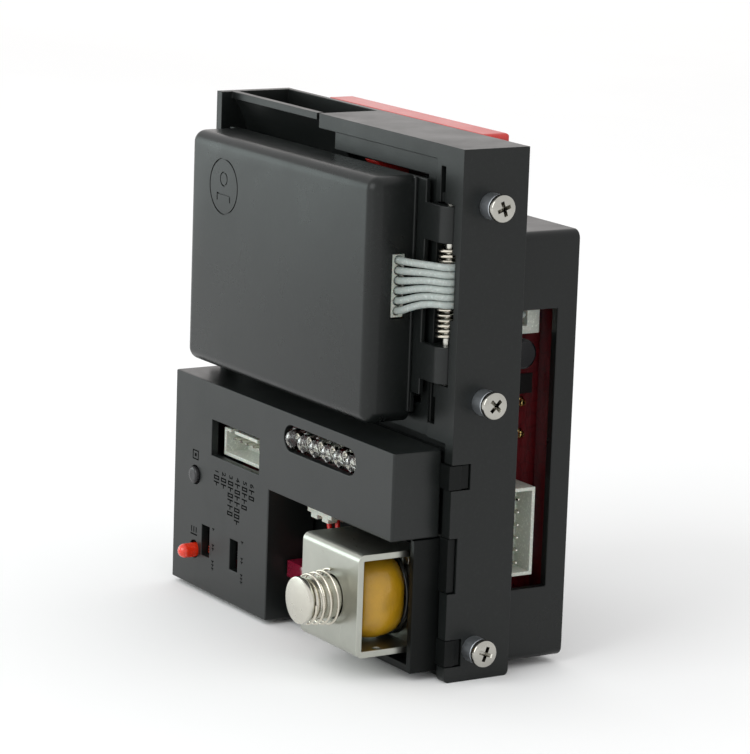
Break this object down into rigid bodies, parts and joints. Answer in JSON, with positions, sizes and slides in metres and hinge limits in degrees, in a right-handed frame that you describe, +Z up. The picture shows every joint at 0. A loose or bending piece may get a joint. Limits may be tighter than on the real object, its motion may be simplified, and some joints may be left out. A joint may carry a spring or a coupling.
{
  "type": "coin acceptor",
  "caption": "Side-mounted 3.5-inch format coin acceptor with a top coin funnel, hinged sensor door, push-down reject lever, solenoid gate, control box and rear circuit housing.",
  "frame": {"origin": "centre of the footprint (plunger tip to rear wall, stud tip to stud tip), on the surface that it stands on", "axes": "+Z up along the coin's fall, +Y from the front plate to the rear housing, +X to the hinge side"},
  "size_m": [0.098, 0.052, 0.102],
  "materials": {
    "frame_black": "fine moulded texture",
    "track_black": "smooth moulding",
    "housing_black": "satin moulding",
    "box_black": "satin moulding with pad-printed marks",
    "base_black": "satin moulding",
    "door_black": "fine grained moulding",
    "deck_black": "smooth moulding",
    "board_red": "red solder mask",
    "connector_white": "natural nylon",
    "pin_tin": "tinned",
    "capacitor_sleeve": "shrink sleeve",
    "contact_gold": "gold flashed",
    "chip_black": "epoxy package",
    "stud_nickel": "bright nickel plate",
    "screw_zinc": "zinc plate",
    "lamp_clear": "clear water epoxy",
    "lamp_red": "red diffused epoxy",
    "button_black": "plain",
    "slider_red": "plain",
    "slider_dark": "plain",
    "bracket_zinc": "bright zinc plated sheet",
    "bobbin_black": "plain",
    "coil_tape": "yellow polyester tape",
    "plunger_steel": "turned and zinc plated",
    "spring_steel": "bright spring wire",
    "lead_red": "pvc",
    "sensor_red": "dark red lens",
    "gate_steel": "stamped",
    "coil_copper": "enamelled copper",
    "cable_grey": "pvc",
    "lever_red": "satin moulding"
  },
  "bodies": {
    "frame": {"main_frame": "frame_black", "coin_track": "track_black", "rear_housing": "housing_black", "housing_screws": "screw_zinc", "rear_board": "board_red", "side_header": "connector_white", "side_header_pins": "pin_tin", "ribbon_socket": "connector_white", "filter_capacitor": "capacitor_sleeve", "contact_posts": "contact_gold", "driver_chip": "chip_black", "stud_collars": "stud_nickel", "stud_screws": "stud_nickel", "control_box": "box_black", "control_base": "base_black", "control_board": "board_red", "control_screws": "screw_zinc", "front_header": "connector_white", "front_header_pins": "pin_tin", "display_leds": "lamp_clear", "status_led": "lamp_red", "teach_switch": "chip_black", "speed_switch": "chip_black", "pulse_switch": "chip_black", "solenoid_bracket": "bracket_zinc", "solenoid_screws": "screw_zinc", "bobbin": "bobbin_black", "coil_winding": "coil_tape", "fixed_core": "plunger_steel", "plunger_spring": "spring_steel", "solenoid_plug": "connector_white", "solenoid_leads": "lead_red", "exit_sensor": "sensor_red", "gate_pin": "gate_steel", "ribbon_cable": "cable_grey", "hinge_pin": "gate_steel", "hinge_spring": "spring_steel", "lever_spring": "spring_steel"},
    "door": {"door_plate": "deck_black", "door_cover": "door_black", "door_board": "board_red", "sensor_coils": "coil_copper", "door_screws": "screw_zinc", "ribbon_plug": "connector_white"},
    "lever": {"reject_lever": "lever_red"},
    "plunger": {"plunger": "plunger_steel"},
    "gate": {"accept_gate": "gate_steel"},
    "button": {"teach_button": "button_black"},
    "speed": {"speed_slider": "slider_red"},
    "pulse": {"pulse_slider": "slider_dark"}
  },
  "joints": [
    {"name": "lever_press", "type": "slide", "parent": "frame", "child": "lever", "axis": [0, 0, -1], "range_m": [0, 0.0055], "stiffness_N_per_m": 250, "springref_m": -0.0015, "deforming": ["lever_spring", "hinge_spring", "ribbon_cable"]},
    {"name": "door_swing", "type": "hinge", "parent": "frame", "child": "door", "pos_m": [0.0385, -0.0008, 0.074], "axis": [0, 0, 1], "range_deg": [0, 11.1], "stiffness_Nm_per_rad": 0.02, "springref_deg": -17.19, "deforming": ["hinge_spring", "ribbon_cable"]},
    {"name": "plunger_slide", "type": "slide", "parent": "frame", "child": "plunger", "axis": [0, 1, 0], "range_m": [0, 0.0035], "stiffness_N_per_m": 150, "springref_m": -0.001, "deforming": ["plunger_spring"]},
    {"name": "gate_swing", "type": "hinge", "parent": "frame", "child": "gate", "pos_m": [0.0245, 0.00265, 0.023], "axis": [1, 0, 0], "range_deg": [0, 24]},
    {"name": "teach_press", "type": "slide", "parent": "frame", "child": "button", "axis": [0, 1, 0], "range_m": [0, 0.0004], "stiffness_N_per_m": 800, "springref_m": -0.0003},
    {"name": "speed_select", "type": "slide", "parent": "frame", "child": "speed", "axis": [0, 0, 1], "range_m": [0, 0.004]},
    {"name": "pulse_select", "type": "slide", "parent": "frame", "child": "pulse", "axis": [0, 0, 1], "range_m": [-0.002, 0.002]}
  ],
  "couplings": [
    {"joint": "door_swing", "follows": "lever_press", "rad_per_m": 35},
    {"joint": "gate_swing", "follows": "plunger_slide", "rad_per_m": 119}
  ]
}
